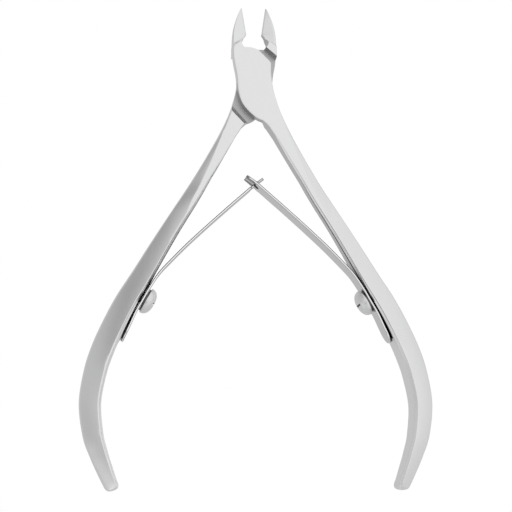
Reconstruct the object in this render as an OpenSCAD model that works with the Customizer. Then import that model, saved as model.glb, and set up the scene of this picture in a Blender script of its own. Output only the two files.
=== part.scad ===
// Cuticle nipper with a lap joint and two interlocking leaf springs.
// X runs across the tool, Z runs from the grips up to the jaws, and the pivot axis is Y.
// The origin is where the pivot axis meets the flat front face of the joint.
// The pieces are drawn about the lap plane and then set back by half of the joint's thickness.
// Both levers are the same forging, one turned half a turn about Z.
// The front lever is the left jaw and the right grip, and its lap is on the -Y side.

/* [Joint] */
// Half of the joint's thickness, which is one lever's lap
joint_half = 2.1; // [1.8:0.05:2.4]
// Gap from the lap plane to each lever's lap face
lap_gap = 0.02; // [0.01:0.01:0.1]
// Width of the bevel along the joint's outer rim
joint_chamfer = 0.18; // [0.1:0.01:0.24]
// Diameter of the rivet's shank
rivet_d = 3; // [2.4:0.1:3.4]
// Diameter of the rivet's countersunk head
rivet_head_d = 4.4; // [3.8:0.1:5]
// Height of the rivet's countersunk head
rivet_head_h = 0.7; // [0.5:0.05:0.9]
// Radial running clearance of the rivet in the rear lever
rivet_clearance = 0.03; // [0.01:0.01:0.08]
// Depth of the blind hole that holds the rivet in the front lever
rivet_seat = 1.5; // [1.2:0.1:1.6]

/* [Jaws] */
// Half of the angle between the open cutting edges, in degrees
edge_half_angle = 9; // [8.8:0.1:9.4]
// Half of the land left on a cutting edge
edge_land = 0.06; // [0.03:0.01:0.12]
// Half of the jaw's thickness at its tip
tip_half = 0.34; // [0.25:0.01:0.5]

/* [Grips] */
// Half of a grip's depth at its fullest
grip_half = 3.7; // [3.2:0.1:4]
// Half of a handle's depth at its slimmest
neck_half = 1.75; // [1.6:0.05:2]
// Width of the bevels along a handle's inner face
inner_bevel = 0.58; // [0.4:0.02:0.6]

/* [Springs] */
// Width of a leaf spring
spring_w = 4.8; // [4.4:0.1:5.2]
// Thickness of a leaf spring
spring_t = 0.52; // [0.4:0.02:0.6]
// Width of the slot between the fork's prongs
fork_slot_w = 1.8; // [1.7:0.05:2]
// Width of the tongue that passes through the fork
tongue_w = 1.4; // [1.2:0.05:1.5]
// How much each prong narrows towards its end
prong_taper = 0.4; // [0:0.05:0.6]

/* [Screws] */
// Diameter of a spring screw's domed head
head_d = 5.6; // [4.8:0.1:6]
// Height of a spring screw's head
head_h = 2.3; // [1.6:0.1:2.6]
// Width of the driver slot
driver_slot_w = 0.4; // [0.3:0.02:0.8]
// Depth of the driver slot
driver_slot_h = 0.3; // [0.2:0.05:0.8]
// Turn of the driver slot about the screw's axis, in degrees
driver_slot_turn = 4; // [0:1:180]
// Diameter of the screw's shank
shank_d = 2.4; // [2:0.1:2.6]
// Length of the shank below the head
shank_l = 3; // [2.4:0.1:3.2]

/* [Hidden] */

spring_color = [0.72, 0.73, 0.75];
screw_color = [0.82, 0.83, 0.84];

// Distance of a cutting edge from the line it follows through the pivot axis, along X
edge_gap = 0.02;
// Cuts made per row of the handle table, and points per row of the spring line
handle_steps = 2;
spring_steps = 3;

// Where a spring screw stands on its handle, and which way its head faces
screw_at = [23.97, 0, -47.47];
screw_out = [-0.868, 0, -0.497];
screw_hole_extra = 0.3; // the hole's depth past the shank's end
screw_head_base = spring_t / 2;
spring_hole_d = shank_d + 0.4;

// Places along a spring's free end, measured from the crossing
fork_root = -0.2;
tongue_root = -1.3;
tongue_l = 2.2;

module set_back() translate([0, joint_half, 0]) children();
module half_turn() rotate([0, 0, 180]) children();

function lerp(a, b, t) = a + (b - a) * t;
function unit(v) = v / norm(v);

// Catmull-Rom value of a list of vectors at a real index
function curve_at(rows, index) =
    let (last = len(rows) - 1,
         i = min(floor(index), last - 1),
         t = index - i,
         before = rows[max(i - 1, 0)],
         from = rows[i],
         to = rows[i + 1],
         after = rows[min(i + 2, last)])
    0.5 * (2 * from + (to - before) * t
        + (2 * before - 5 * from + 4 * to - after) * t * t
        + (3 * from - before - 3 * to + after) * t * t * t);

// ---- lever cuts ----
// A lever is lofted through cuts taken across it, from the jaw's tip to the grip's end:
// [left x, left z, right x, right z, half depth, left bevel, flat end, depth before the rim,
//  rim depth, rim width, crown, lap]
// The flat end is a fraction of the cut's width. The rim is the bevel at the right end.
// The crown is extra depth midway between the flat and the rim.
// lap is 1 where only the front half of the joint is left.

function edge_x(z) = -tan(edge_half_angle) * z - edge_gap;

// Along the cutting edge: [left x, z, half depth, left bevel, depth before the rim, rim width]
edge_rows = [
    [-2.72, 16.12, tip_half, 0.04, 0.24, 0.05],
    [-3.28, 14.98, 0.47, 0.10, 0.32, 0.16],
    [-3.80, 13.60, 0.65, 0.13, 0.43, 0.20],
    [-4.25, 12.10, 0.84, 0.15, 0.55, 0.22],
    [-4.53, 10.65, 1.03, 0.16, 0.68, 0.22]
];
edge_flat_end = 0.08;
edge_cuts = [for (r = edge_rows)
    [r[0], r[1], edge_x(r[1]), r[1], r[2], r[3], edge_flat_end, r[4], edge_land, r[5], 0, 0]];

// From the cutting edge to the joint: the columns of a cut up to the rim width
throat_rows = [
    [-4.63, 9.55, edge_x(10.20) + edge_gap, 10.20, 1.17, 0.17, 0.08, 0.78, 0.42, 0.20],
    [-4.68, 8.74, -1.98, 9.74, 1.27, 0.17, 0.08, 0.88, 0.60, 0.20],
    [-4.71, 7.97, -2.19, 9.44, 1.35, 0.17, 0.08, 1.00, 0.76, 0.20],
    [-4.71, 7.87, -2.24, 9.34, 1.39, 0.17, 0.30, 1.04, 0.80, 0.20],
    [-4.71, 7.40, -2.46, 8.93, 1.90, 0.17, 0.65, 1.62, 1.38, 0.20],
    [-4.71, 7.06, -2.63, 8.72, 2.07, joint_chamfer, 0.80, 1.92, 1.72, 0.18],
    [-4.72, 6.28, -2.88, 8.08, joint_half, joint_chamfer, 0.90, 2.08, 1.94, 0.13]
];

// The joint, flat up to a 45 degree rim:
// [left x, left z, right x, right z, left bevel, flat end, rim width, lap]
joint_rows = [
    [-4.74, 5.42, -2.62, 7.38, joint_chamfer, 0.93, 0.09, 0],
    [-4.74, 5.18, -2.42, 7.14, joint_chamfer, 0.93, 0.09, 0],
    [-4.71, 4.78, -2.18, 7.00, joint_chamfer, 0.93, 0.09, 1],
    [-4.66, 4.30, -1.12, 7.00, joint_chamfer, 0.93, 0.08, 1],
    [-4.60, 3.84, 0.28, 6.62, joint_chamfer, 0.93, 0.06, 1],
    [-4.53, 3.40, 1.14, 6.02, joint_chamfer, 0.93, 0.06, 1],
    [-4.37, 2.55, 2.70, 4.46, joint_chamfer, 0.93, 0.06, 1],
    [-4.24, 1.88, 3.36, 3.64, joint_chamfer, 0.93, 0.10, 1],
    [-4.17, 1.50, 3.43, 3.12, joint_chamfer, 0.92, 0.18, 1],
    [-4.04, 0.65, 3.42, 1.85, joint_chamfer, 0.92, 0.25, 1],
    [-3.93, -0.50, 3.52, 0.35, joint_chamfer, 0.92, 0.25, 1],
    [-3.84, -1.75, 3.70, -1.10, 0.13, 0.92, 0.25, 1],
    [-3.64, -3.00, 3.88, -2.15, 0.10, 0.92, 0.25, 1],
    [-3.34, -4.15, 4.06, -2.95, 0.07, 0.92, 0.25, 1],
    [-2.96, -5.10, 4.20, -3.50, 0.06, 0.92, 0.25, 1],
    [-2.46, -5.92, 4.32, -3.95, 0.06, 0.92, 0.25, 1],
    [-1.08, -7.45, 4.54, -4.66, 0.06, 0.92, 0.25, 1],
    [0.56, -8.70, 4.71, -5.24, 0.06, 0.92, 0.25, 1],
    [1.62, -9.12, 4.79, -5.52, 0.06, 0.92, 0.25, 1]
];
joint_cuts = [for (r = joint_rows)
    [r[0], r[1], r[2], r[3], joint_half, r[4], r[5], joint_half, joint_half - r[6], r[6], 0, r[7]]];

// Below the joint: the columns of a cut up to the rim width
shoulder_rows = [
    [2.56, -9.94, 5.36, -7.04, joint_half, 0.06, 0.92, joint_half, joint_half - 0.30, 0.30],
    [3.24, -10.90, 6.06, -8.62, joint_half, 0.08, 0.91, joint_half - 0.02, joint_half - 0.46, 0.30]
];

// The handle from the shoulder to its rounded end:
// [outer x, outer z, thickness across, half depth, inner bevel, flat end,
//  depth before the rim, rim depth, rim width, crown]
handle_rows = [
    [7.22, -11.00, 3.30, joint_half - 0.04, 0.12, 0.88, joint_half - 0.10, joint_half - 0.70, 0.30, 0],
    [8.05, -12.58, 3.26, joint_half - 0.10, 0.22, 0.83, joint_half - 0.24, joint_half - 0.90, 0.32, 0],
    [9.46, -15.10, 3.25, joint_half - 0.18, 0.32, 0.71, joint_half - 0.46, joint_half - 1.10,
        0.34, 0.01],
    [10.97, -17.74, 3.26, joint_half - 0.25, 0.40, 0.58, joint_half - 0.66, joint_half - 1.30,
        0.35, 0.02],
    [12.55, -20.35, 3.30, joint_half - 0.30, 0.44, 0.48, joint_half - 0.86, 0.50, 0.36, 0.03],
    [14.13, -22.90, 3.46, neck_half + 0.03, inner_bevel - 0.12, 0.41, 0.90, 0.42, 0.37, 0.04],
    [15.82, -25.50, 3.60, neck_half, inner_bevel - 0.10, 0.35, 0.84, 0.38, 0.38, 0.05],
    [17.61, -28.20, 3.70, neck_half, inner_bevel - 0.08, 0.19, 0.80, 0.36, 0.38, 0.06],
    [19.78, -31.50, 3.85, neck_half + 0.07, inner_bevel - 0.06, 0.165, 0.78, 0.34, 0.39, 0.07],
    [23.11, -36.66, 4.18, lerp(neck_half, grip_half, 0.19), inner_bevel - 0.04,
        0.155, 0.84, 0.33, 0.40, 0.08],
    [26.35, -41.82, 4.48, lerp(neck_half, grip_half, 0.36), inner_bevel - 0.03,
        0.15, 0.92, 0.33, 0.41, 0.10],
    [29.69, -46.98, 4.72, lerp(neck_half, grip_half, 0.55), inner_bevel - 0.02,
        0.145, 1.02, 0.33, 0.42, 0.12],
    [32.42, -52.14, 4.82, lerp(neck_half, grip_half, 0.75), inner_bevel - 0.01,
        0.145, 1.14, 0.33, 0.43, 0.14],
    [34.73, -57.30, 4.80, lerp(neck_half, grip_half, 0.91), inner_bevel,
        0.145, 1.24, 0.34, 0.44, 0.15],
    [36.35, -62.46, 4.68, grip_half - 0.02, inner_bevel, 0.15, 1.32, 0.34, 0.45, 0.15],
    [37.38, -69.34, 4.46, grip_half, inner_bevel, 0.155, 1.36, 0.34, 0.45, 0.15],
    [36.58, -76.22, 4.15, grip_half - 0.01, inner_bevel, 0.16, 1.40, 0.35, 0.45, 0.14],
    [35.03, -80.60, 3.66, grip_half - 0.05, inner_bevel - 0.01, 0.17, 1.48, 0.36, 0.45, 0.12],
    [33.52, -83.95, 3.22, grip_half - 0.13, inner_bevel - 0.02, 0.18, 1.58, 0.40, 0.44, 0.10],
    [32.20, -86.62, 2.82, grip_half - 0.32, inner_bevel - 0.04, 0.20, 1.66, 0.46, 0.42, 0.08]
];

// A cut square to the handle's outer line
function handle_cut(index) =
    let (row = curve_at(handle_rows, index),
         before = curve_at(handle_rows, max(index - 0.1, 0)),
         after = curve_at(handle_rows, min(index + 0.1, len(handle_rows) - 1)),
         along = unit([after[0] - before[0], after[1] - before[1]]),
         inward = [along[1], -along[0]],
         outer = [row[0], row[1]],
         inner = outer + row[2] * inward)
    concat(inner, outer, [for (i = [3 : 9]) row[i]], [0]);
handle_cuts = [for (k = [0 : (len(handle_rows) - 1) * handle_steps]) handle_cut(k / handle_steps)];

// The end is rounded in plan and thins in depth
last_cut = handle_cuts[len(handle_cuts) - 1];
end_left = [last_cut[0], last_cut[1]];
end_right = [last_cut[2], last_cut[3]];
end_mid = (end_left + end_right) / 2;
end_radius = norm(end_right - end_left) / 2;
end_across = unit(end_right - end_left);
end_along = [end_across[1], -end_across[0]];
end_length = 1.13 * end_radius;
end_thinning = 1.3; // loss of half depth at the very end
end_skew = 0.20;    // lean of the cuts, as a share of their half width

function end_cut(angle) =
    let (shrink = pow(cos(angle), 0.62),
         half_w = end_radius * shrink,
         mid = end_mid + end_length * pow(sin(angle), 0.85) * end_along,
         skew = end_skew * half_w * sin(angle) * end_along,
         left = mid - half_w * end_across + skew,
         right = mid + half_w * end_across - skew,
         half_depth = last_cut[4] - end_thinning * (1 - shrink))
    concat(left, right, [
        half_depth,
        last_cut[5] * shrink,
        last_cut[6],
        lerp(half_depth - 0.35, last_cut[7], shrink),
        lerp(half_depth - 0.6, last_cut[8], shrink),
        last_cut[9] * shrink,
        last_cut[10] * shrink,
        0
    ]);

lever_cuts = concat(
    edge_cuts,
    [for (r = throat_rows) concat(r, [0, 0])],
    joint_cuts,
    [for (r = shoulder_rows) concat(r, [0, 0])],
    handle_cuts,
    [for (angle = [12, 30, 48, 65, 78, 87.5]) end_cut(angle)]
);

// ---- levers ----
// The six points across one face of a cut; side is -1 for the front and 1 for the back
function face_points(cut, side) =
    let (left = [cut[0], cut[1]],
         right = [cut[2], cut[3]],
         width = norm(right - left),
         half_depth = cut[4],
         bevel = min(cut[5], 0.3 * width),
         rim = min(cut[9], 0.35 * width),
         bevel_end = bevel / width,
         rim_start = 1 - rim / width,
         flat_end = min(max(cut[6], bevel_end + 0.05), 0.97 - rim / width),
         across = [0, bevel_end, flat_end, (flat_end + rim_start) / 2, rim_start, 1],
         depths = [half_depth - bevel, half_depth, half_depth,
             (half_depth + cut[7]) / 2 + cut[10], cut[7], cut[8]])
    [for (i = [0 : 5]) let (p = lerp(left, right, across[i])) [p[0], side * depths[i], p[1]]];

// The closed ring of a cut: its front from left to right, then its back from right to left
function ring(cut) =
    let (back = face_points(cut, 1), is_lap = cut[11] == 1)
    concat(face_points(cut, -1),
        [for (i = [5 : -1 : 0]) [back[i][0], is_lap ? -lap_gap : back[i][1], back[i][2]]]);

module loft(rings) {
    size = len(rings[0]);
    count = len(rings);
    points = [for (r = rings) for (p = r) p];
    sides = [for (n = [0 : count - 2]) for (i = [0 : size - 1]) for (half = [0, 1])
        let (k = (i + 1) % size, near = n * size, far = near + size)
        half == 0 ? [near + i, near + k, far + k] : [near + i, far + k, far + i]];
    // each end is closed by strips between its front and back points
    caps = [for (end = [0, count - 1]) for (i = [0 : size / 2 - 2]) for (half = [0, 1])
        let (front = end * size + i,
             back = end * size + size - 1 - i,
             t = half == 0 ? [front, back - 1, front + 1] : [front, back, back - 1])
        end == 0 ? t : [t[0], t[2], t[1]]];
    polyhedron(points = points, faces = concat(sides, caps), convexity = 8);
}

// Frame of a spring screw, with Z out through its head
module at_screw() translate(screw_at) rotate([0, atan2(screw_out[0], screw_out[2]), 0]) children();

module lever_blank() difference() {
    loft([for (cut = lever_cuts) ring(cut)]);
    // blind hole for the spring screw
    at_screw() translate([0, 0, -shank_l - screw_hole_extra])
        cylinder(h = shank_l + 2, d = shank_d, $fn = 48);
}

module pivot_bore(d, from, to) translate([0, to, 0]) rotate([90, 0, 0])
    cylinder(h = to - from, d = d, $fn = 64);

module front_lever() color([0.80, 0.81, 0.82]) set_back() difference() {
    lever_blank();
    pivot_bore(rivet_d, -rivet_seat, 1);
}

module rear_lever() {
    bore_d = rivet_d + 2 * rivet_clearance;
    sink_h = rivet_head_h + 0.5;
    sink_d = bore_d + (rivet_head_d - rivet_d) / rivet_head_h * sink_h;
    color([0.76, 0.77, 0.79]) set_back() difference() {
        half_turn() lever_blank();
        pivot_bore(bore_d, -1, joint_half + 1);
        // countersink with the same slope as the rivet's head
        translate([0, joint_half - rivet_head_h - rivet_clearance, 0]) rotate([-90, 0, 0])
            cylinder(h = sink_h, d1 = bore_d, d2 = sink_d, $fn = 64);
    }
}

module pivot_rivet() color([0.70, 0.71, 0.73]) set_back() rotate([-90, 0, 0])
    rotate_extrude($fn = 64) polygon([
        [0, -rivet_seat],
        [rivet_d / 2, -rivet_seat],
        [rivet_d / 2, joint_half - rivet_head_h],
        [rivet_head_d / 2, joint_half],
        [0, joint_half]
    ]);

// ---- leaf springs ----
// Middle line of a spring, from its clamped tail to its free end, as [x, z]
spring_line = [
    [28.50, -56.45], [27.00, -53.30], [25.65, -50.35], [24.20, -47.81], [22.64, -45.09],
    [20.60, -42.08], [18.08, -39.36], [14.80, -36.04], [10.76, -32.26], [6.42, -28.34],
    [3.10, -25.42], [0, -22.72], [-2.06, -21.12]
];
spring_last = len(spring_line) - 1;
// The springs cross at the last point but one
crossing = spring_line[spring_last - 1];
free_end = spring_line[spring_last] - crossing;
free_l = norm(free_end);

function spring_normal(index) =
    let (before = curve_at(spring_line, max(index - 0.05, 0)),
         after = curve_at(spring_line, min(index + 0.05, spring_last)),
         along = unit(after - before))
    [-along[1], along[0]];
function spring_point(step, offset) =
    let (index = step / spring_steps)
    curve_at(spring_line, index) + spring_normal(index) * offset;

module spring_strip() {
    steps = spring_last * spring_steps;
    rotate([90, 0, 0]) linear_extrude(height = spring_w, center = true) polygon(concat(
        [for (k = [0 : steps]) spring_point(k, spring_t / 2)],
        [for (k = [steps : -1 : 0]) spring_point(k, -spring_t / 2)]
    ));
}

// Frame at an [x, z] point, with X along an [x, z] direction and Y across the strip
module at_point(point, direction) translate([point[0], 0, point[1]])
    rotate([0, -atan2(direction[1], direction[0]), 0]) children();
module at_crossing() at_point(crossing, free_end) children();

// Cutter that rounds the clamped tail
module tail_rounding() at_point(spring_line[0], spring_line[0] - spring_line[1]) difference() {
    translate([-spring_w / 2, -spring_w, -2]) cube([spring_w, 2 * spring_w, 4]);
    translate([-spring_w / 2, 0, -3]) cylinder(h = 6, d = spring_w, $fn = 64);
}

module spring_base() difference() {
    spring_strip();
    at_screw() translate([0, 0, -2]) cylinder(h = 6, d = spring_hole_d, $fn = 48);
    tail_rounding();
}

// Cutter along the +Y side of the fork: the prong narrows towards its rounded end
module prong_cutter() {
    side = spring_w / 2;
    tip = side - prong_taper;
    linear_extrude(height = 4, center = true) polygon([
        [fork_root, side],
        [1, side - prong_taper / 2],
        [free_l - 0.6, tip],
        [free_l - 0.25, tip - 0.1],
        [free_l + 0.1, tip - 0.4],
        [free_l + 1, tip - 0.4],
        [free_l + 1, spring_w],
        [fork_root, spring_w]
    ]);
}

module front_leaf_spring() color(spring_color) set_back() difference() {
    spring_base();
    at_crossing() {
        // slot between the prongs, closed by a round end below the crossing
        translate([fork_root, -fork_slot_w / 2, -2]) cube([6, fork_slot_w, 4]);
        translate([fork_root, 0, -2]) cylinder(h = 4, d = fork_slot_w, $fn = 48);
        for (s = [-1, 1]) scale([1, s, 1]) prong_cutter();
    }
}

module rear_leaf_spring() color(spring_color) set_back() difference() {
    half_turn() spring_base();
    half_turn() at_crossing() {
        // the strip narrows to a tongue before the crossing
        for (y = [-tongue_w / 2 - 4, tongue_w / 2]) translate([tongue_root, y, -2]) cube([6, 4, 4]);
        // the tongue's end is round
        difference() {
            translate([tongue_l - tongue_w / 2, -tongue_w, -2]) cube([3, 2 * tongue_w, 4]);
            translate([tongue_l - tongue_w / 2, 0, -3]) cylinder(h = 6, d = tongue_w, $fn = 48);
        }
    }
}

// ---- spring screws ----
module spring_screw() {
    base = screw_head_base;
    shank_r = shank_d / 2;
    head_r = head_d / 2;
    dome_base = 0.54; // height where the dome starts
    at_screw() difference() {
        rotate_extrude($fn = 64) polygon(concat(
            [
                [0, -shank_l], [shank_r - 0.25, -shank_l], [shank_r, -shank_l + 0.3],
                [shank_r, base], [head_r - 0.36, base], [head_r - 0.36, base + 0.3],
                [head_r - 0.1, base + 0.36], [head_r, base + 0.5]
            ],
            [for (a = [0 : 10 : 90]) [
                head_r * pow(cos(a), 0.82),
                base + dome_base + (head_h - dome_base) * pow(sin(a), 0.95)
            ]]
        ));
        // driver slot
        rotate([0, 0, driver_slot_turn])
            translate([-driver_slot_w / 2, -head_d, base + head_h - driver_slot_h])
                cube([driver_slot_w, 2 * head_d, 3]);
    }
}

module front_spring_screw() color(screw_color) set_back() spring_screw();
module rear_spring_screw() color(screw_color) set_back() half_turn() spring_screw();

front_lever();
rear_lever();
pivot_rivet();
front_leaf_spring();
rear_leaf_spring();
front_spring_screw();
rear_spring_screw();
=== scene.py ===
# A small cutting tool: two equal levers crossed in a lap joint on a rivet, with a leaf spring
# screwed inside each handle. Z is up with the blades on top, the front faces -Y, and the
# rivet's axis is Y at x = z = 0. The front lever runs from a blade on the left (-X) to a
# handle on the right; the rear lever's pieces are the front's, turned half a turn about Z.
import math

import bmesh
import bpy
import numpy as np
from mathutils import Matrix, Vector


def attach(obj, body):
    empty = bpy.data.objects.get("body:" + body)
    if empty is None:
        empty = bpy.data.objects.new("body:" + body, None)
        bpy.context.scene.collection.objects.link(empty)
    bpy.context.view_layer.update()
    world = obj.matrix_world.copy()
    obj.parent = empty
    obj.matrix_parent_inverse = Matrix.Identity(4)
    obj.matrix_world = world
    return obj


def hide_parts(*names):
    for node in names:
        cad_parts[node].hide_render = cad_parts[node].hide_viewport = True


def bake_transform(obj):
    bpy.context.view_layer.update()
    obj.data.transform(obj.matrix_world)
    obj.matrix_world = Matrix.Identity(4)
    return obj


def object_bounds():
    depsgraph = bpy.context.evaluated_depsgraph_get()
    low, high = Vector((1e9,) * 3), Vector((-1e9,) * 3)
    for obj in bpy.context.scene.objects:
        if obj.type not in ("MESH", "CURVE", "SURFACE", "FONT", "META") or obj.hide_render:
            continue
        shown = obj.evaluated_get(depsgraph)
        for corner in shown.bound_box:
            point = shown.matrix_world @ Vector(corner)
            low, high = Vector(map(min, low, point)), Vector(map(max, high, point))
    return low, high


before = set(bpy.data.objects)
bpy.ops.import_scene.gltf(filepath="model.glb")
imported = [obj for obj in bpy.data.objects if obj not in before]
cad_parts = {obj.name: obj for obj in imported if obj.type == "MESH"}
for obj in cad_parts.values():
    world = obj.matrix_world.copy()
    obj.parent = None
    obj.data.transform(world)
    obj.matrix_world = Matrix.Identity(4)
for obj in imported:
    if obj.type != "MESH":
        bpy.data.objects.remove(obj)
cad_low, cad_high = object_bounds()

# ------------------------------------------------------------------ dimensions, in mm
MM = 0.001
HALF = 2.1                 # half of the joint's thickness
LAP_GAP = 0.02             # lap plane to lap face
EDGE_SLOPE = math.tan(math.radians(9.0))
EDGE_GAP = 0.02            # cutting edge to the middle plane at z = 0
NECK, GRIP = 1.75, 3.7     # half depths of the handle

RIVET_R = 1.5
RIVET_SINK = 0.7           # depth of the rivet's conical end
BORE_PLAY = 0.03           # play in the rear lever's bore

SPRING_T, SPRING_W = 0.52, 4.8
SPRING_EDGE = 0.11         # broken edge of a spring

SCREW_AT = Vector((23.97, 0, -47.47)) * MM
SCREW_OUT = Vector((-0.868, 0, -0.497)).normalized()
SHANK_R, THREAD_ROOT_R, THREAD_PITCH = 1.2, 1.02, 0.45
HEAD_BASE, HEAD_R, HEAD_H = 0.26, 2.8, 2.3
HEAD_TOP = HEAD_BASE + HEAD_H
COLLAR_R = HEAD_R - 0.36
SLOT_HALF, SLOT_DEPTH, SLOT_TURN = 0.20, 0.3, 4   # the turn is in degrees

TURN = Matrix.Rotation(math.pi, 4, "Z")
Z_TO_Y = Matrix.Rotation(-math.pi / 2, 4, "X")
SET_BACK = Matrix.Translation((0, HALF * MM, 0))


# ------------------------------------------------------------------ arithmetic
def edge_x(z):
    return -EDGE_SLOPE * z - EDGE_GAP


def lerp(a, b, t):
    return a + (b - a) * t


def smooth(t):
    t = np.clip(t, 0.0, 1.0)
    return t * t * (3 - 2 * t)


def bend(start, corner, end, t):
    """A point of a quadratic curve."""
    return [(1 - t) ** 2 * a + 2 * t * (1 - t) * b + t * t * c
            for a, b, c in zip(start, corner, end)]


def spline(points, steps):
    """Catmull-Rom through rows of numbers, with steps between each two rows."""
    p = np.array(points, float)
    n = len(p)
    out = []
    for i in range(n - 1):
        a, b, c, d = p[max(i - 1, 0)], p[i], p[i + 1], p[min(i + 2, n - 1)]
        for step in range(steps):
            t = step / steps
            out.append(0.5 * (2 * b + (c - a) * t + (2 * a - 5 * b + 4 * c - d) * t * t
                              + (3 * b - a - 3 * c + d) * t ** 3))
    out.append(p[-1])
    return np.array(out)


# ------------------------------------------------------------------ materials
def node(tree, kind, inputs, **settings):
    """Adds a shader node. An input takes a value or another node's output."""
    new = tree.nodes.new("ShaderNode" + kind)
    for key, value in settings.items():
        setattr(new, key, value)
    for key, value in inputs.items():
        if isinstance(value, bpy.types.NodeSocket):
            tree.links.new(value, new.inputs[key])
        else:
            new.inputs[key].default_value = value
    return new


def steel(name, tone, rough, grain, grain_mix, smudge, fades=()):
    """Polished steel.

    grain: noise cells per cm on x, y and z; grain_mix and smudge: how far the fine and the
    broad noise move the roughness; fades: (z in m where a fade starts, z where it ends,
    tone from there on).
    """
    material = bpy.data.materials.new(name)
    material.use_nodes = True
    tree = material.node_tree
    place_out = node(tree, "TexCoord", {}).outputs["Object"]
    stretched = node(tree, "Mapping", {"Vector": place_out, "Scale": [100 * g for g in grain]})
    fine = node(tree, "TexNoise", {"Vector": stretched.outputs["Vector"], "Scale": 1.0,
                                   "Detail": 5.0, "Roughness": 0.65}).outputs["Fac"]
    broad = node(tree, "TexNoise", {"Vector": place_out, "Scale": 140.0,
                                    "Detail": 3.0}).outputs["Fac"]
    grained = node(tree, "Math", {0: fine, 1: grain_mix, 2: rough - grain_mix / 2},
                   operation="MULTIPLY_ADD")
    smudged = node(tree, "Math", {0: broad, 1: smudge, 2: grained.outputs[0]},
                   operation="MULTIPLY_ADD")
    # a few per cent of tone between the dark and the bright of the grain
    color = node(tree, "Mix", {
        "A": (tone * 0.965, tone * 0.968, tone * 0.972, 1),
        "B": (tone * 1.02, tone * 1.02, tone * 1.022, 1),
        "Factor": fine,
    }, data_type="RGBA").outputs["Result"]
    for z_start, z_end, end_tone in fades:
        axes = node(tree, "SeparateXYZ", {0: place_out})
        share = node(tree, "MapRange", {"From Min": z_start, "From Max": z_end,
                                        "Value": axes.outputs["Z"]},
                     interpolation_type="SMOOTHSTEP")
        color = node(tree, "Mix", {
            "A": color,
            "B": (end_tone, end_tone, end_tone, 1),
            "Factor": share.outputs["Result"],
        }, data_type="RGBA").outputs["Result"]
    shader = tree.nodes["Principled BSDF"]
    shader.inputs["Metallic"].default_value = 1.0
    tree.links.new(smudged.outputs[0], shader.inputs["Roughness"])
    tree.links.new(color, shader.inputs["Base Color"])
    return material


# grains, in noise cells per cm on x, y and z
LONG = (18, 18, 2.2)       # streaks along z
LEVEL = (9, 9, 30)         # streaks across z
LENGTHWISE = (6, 30, 6)    # streaks across y
EVEN = (12, 12, 12)
AXIAL = (30, 4, 30)        # streaks along y
# fades of the painted shade lines along the handles' inner bevel: dark from z = -50 to -34 mm,
# the steel's tone above -15 mm and below -59 mm
LINE_FADES = [(-0.034, -0.015, 0.84), (-0.050, -0.059, 0.84)]

forged = steel("forged_steel", tone=0.84, rough=0.22, grain=LONG, grain_mix=0.05, smudge=0.05)
# lap faces: rougher from grinding, with painted shade in their darker tone
lap_grinding_and_shade = steel("lap_grinding_painted_shade", tone=0.52, rough=0.34, grain=LEVEL, grain_mix=0.12, smudge=0.05)
spring_steel = steel("spring_steel", tone=0.70, rough=0.20, grain=LENGTHWISE,
                     grain_mix=0.08, smudge=0.04)
# painted black shade: on the handle's inner wall under the spring's tail, at the tongue's root,
# on the fork slot's walls and in the screws' slots
black_shade = steel("painted_black_shade", tone=0.05, rough=0.36, grain=LENGTHWISE,
                   grain_mix=0.10, smudge=0.05)
# darker at the springs' tips; on the tongue's face away from the handle, painted shade along the
# rims
darker_tips_rim_shade = steel("darker_tips_painted_rim_shade", tone=0.28, rough=0.30, grain=LENGTHWISE,
                 grain_mix=0.08, smudge=0.05)
# painted shade on the springs' face toward the handle: near black along the handle, the spring's
# tone above z = -40 mm
shaded_spring_underside = steel("shaded_spring_underside", tone=0.05, rough=0.30, grain=LENGTHWISE,
                    grain_mix=0.10, smudge=0.05, fades=[(-0.0450, -0.0400, 0.70)])
# painted shade on the rims of the springs' face toward the handle: near black at the foot, 0.13
# above z = -29 mm
shaded_spring_rim = steel("shaded_spring_rim", tone=0.03, rough=0.30, grain=LENGTHWISE,
                   grain_mix=0.06, smudge=0.05, fades=[(-0.0440, -0.0290, 0.13)])
# painted shade line on the round between the inner bevel and the handle's inner wall
shaded_wall_round_line = steel("shaded_wall_round_line", tone=0.16, rough=0.30, grain=LONG,
                   grain_mix=0.06, smudge=0.05, fades=LINE_FADES)
# painted shade line on the round between the inner bevel and the handle's face
shaded_face_round_line = steel("shaded_face_round_line", tone=0.40, rough=0.30, grain=LONG,
                  grain_mix=0.06, smudge=0.05, fades=LINE_FADES)
# painted shade on the handles' inner wall beside the spring, back to the steel's tone below z =
# -59 mm
shaded_inner_wall = steel("shaded_inner_wall", tone=0.62, rough=0.28, grain=LONG,
                   grain_mix=0.08, smudge=0.05, fades=[(-0.047, -0.059, 0.84)])
# painted shade under the screw head, on its collar
collar = steel("painted_collar_shade", tone=0.13, rough=0.36, grain=EVEN, grain_mix=0.10, smudge=0.05)
# polish with a painted highlight: a lighter tone on the springs' narrow sides and the handles'
# inner bevel
polished_highlight = steel("polished_edge_highlight", tone=0.95, rough=0.16, grain=LENGTHWISE,
                 grain_mix=0.04, smudge=0.03)
screw_steel = steel("screw_steel", tone=0.82, rough=0.36, grain=EVEN,
                    grain_mix=0.08, smudge=0.05)
rivet_steel = steel("rivet_steel", tone=0.76, rough=0.30, grain=AXIAL,
                    grain_mix=0.08, smudge=0.05)


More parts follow.
